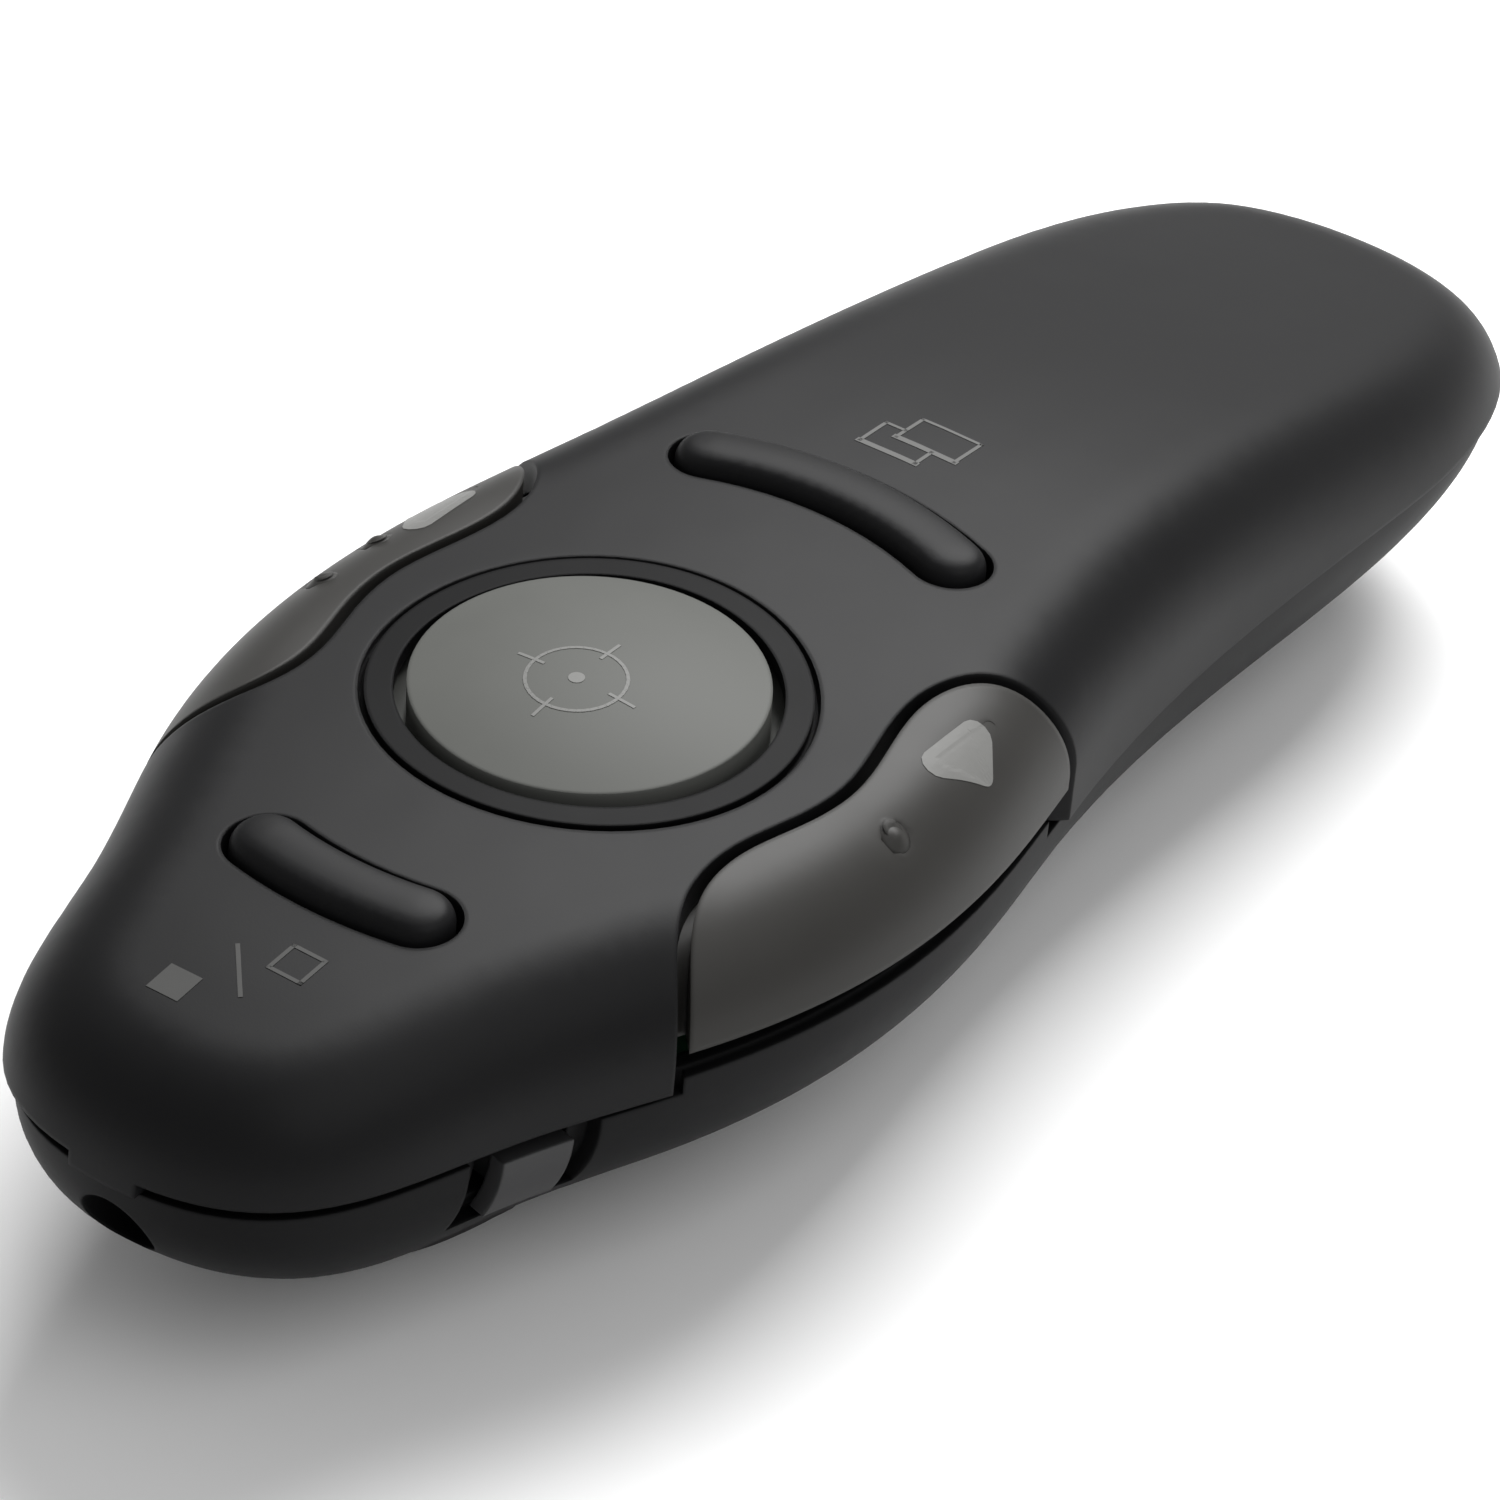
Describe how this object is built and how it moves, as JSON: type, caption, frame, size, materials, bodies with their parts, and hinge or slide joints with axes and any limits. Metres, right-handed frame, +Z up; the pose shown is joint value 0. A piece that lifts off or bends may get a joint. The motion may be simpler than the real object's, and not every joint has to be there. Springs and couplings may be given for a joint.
{
  "type": "presentation_clicker",
  "caption": "Wireless presentation clicker with a domed black cover, a round laser button, side buttons, bar buttons, a power slide and a stored USB receiver",
  "frame": {"origin": "middle of the bounding box on the surface that the clicker rests on", "axes": "nose to -Y, tail to +Y, power switch and back button on +X, up is +Z"},
  "size_m": [0.0428, 0.1216, 0.0254],
  "materials": {
    "soft_black": "soft-touch coating",
    "case_black": "fine moulded texture",
    "key_grey": "satin moulded",
    "side_grey": "satin moulded",
    "knob_grey": "satin moulded",
    "cell_wrap": "printed sleeve",
    "nickel": "nickel plated",
    "board_green": "solder mask",
    "switch_black": "moulded",
    "ceramic_tan": "ceramic",
    "screw_steel": "zinc plated",
    "window_glass": "tinted clear",
    "brass_part": "turned",
    "lens_glass": "polished",
    "gold_can": "gold plated"
  },
  "bodies": {
    "root": {"top_cover": "soft_black", "bottom_case": "case_black", "thumb_ring": "soft_black", "battery_cells": "cell_wrap", "contact_plates": "nickel", "battery_springs": "nickel", "main_board": "board_green", "tact_switches": "switch_black", "radio_chip": "switch_black", "crystal": "nickel", "board_parts": "ceramic_tan", "case_screws": "screw_steel", "board_screws": "screw_steel", "laser_window": "window_glass", "laser_barrel": "brass_part", "laser_lens": "lens_glass", "laser_diode": "gold_can", "driver_board": "board_green", "slide_switch": "nickel"},
    "laser_button": {"laser_button": "key_grey", "laser_stem": "switch_black"},
    "back_button": {"back_button": "side_grey", "back_stem": "switch_black"},
    "next_button": {"next_button": "side_grey", "next_stem": "switch_black"},
    "window_bar": {"window_bar": "soft_black", "window_stem": "switch_black"},
    "blank_bar": {"blank_bar": "soft_black", "blank_stem": "switch_black"},
    "power_knob": {"power_knob": "knob_grey", "slide_lever": "switch_black"},
    "battery_door": {"battery_door": "case_black"},
    "usb_receiver": {"usb_shell": "nickel", "usb_tongue": "switch_black", "usb_contacts": "gold_can", "usb_cap": "case_black"}
  },
  "joints": [
    {"name": "laser_button_press", "type": "slide", "parent": "root", "child": "laser_button", "axis": [0, 0.061, -0.9981], "range_m": [0, 0.0005], "stiffness_N_per_m": 1200},
    {"name": "back_button_press", "type": "slide", "parent": "root", "child": "back_button", "axis": [0, 0, -1], "range_m": [0, 0.0005], "stiffness_N_per_m": 1200},
    {"name": "next_button_press", "type": "slide", "parent": "root", "child": "next_button", "axis": [0, 0, -1], "range_m": [0, 0.0005], "stiffness_N_per_m": 1200},
    {"name": "window_bar_press", "type": "slide", "parent": "root", "child": "window_bar", "axis": [0, 0, -1], "range_m": [0, 0.0005], "stiffness_N_per_m": 1200},
    {"name": "blank_bar_press", "type": "slide", "parent": "root", "child": "blank_bar", "axis": [0, 0, -1], "range_m": [0, 0.0005], "stiffness_N_per_m": 1200},
    {"name": "power_slide", "type": "slide", "parent": "root", "child": "power_knob", "axis": [0.2605, 0.9655, 0], "range_m": [-0.0014, 0.0014]},
    {"name": "door_hinge", "type": "hinge", "parent": "root", "child": "battery_door", "pos_m": [0, -0.0112, 0.00085], "axis": [-1, 0, 0], "range_deg": [0, 60]},
    {"name": "receiver_slide", "type": "slide", "parent": "root", "child": "usb_receiver", "axis": [0, 1, 0], "range_m": [0, 0.02]}
  ]
}
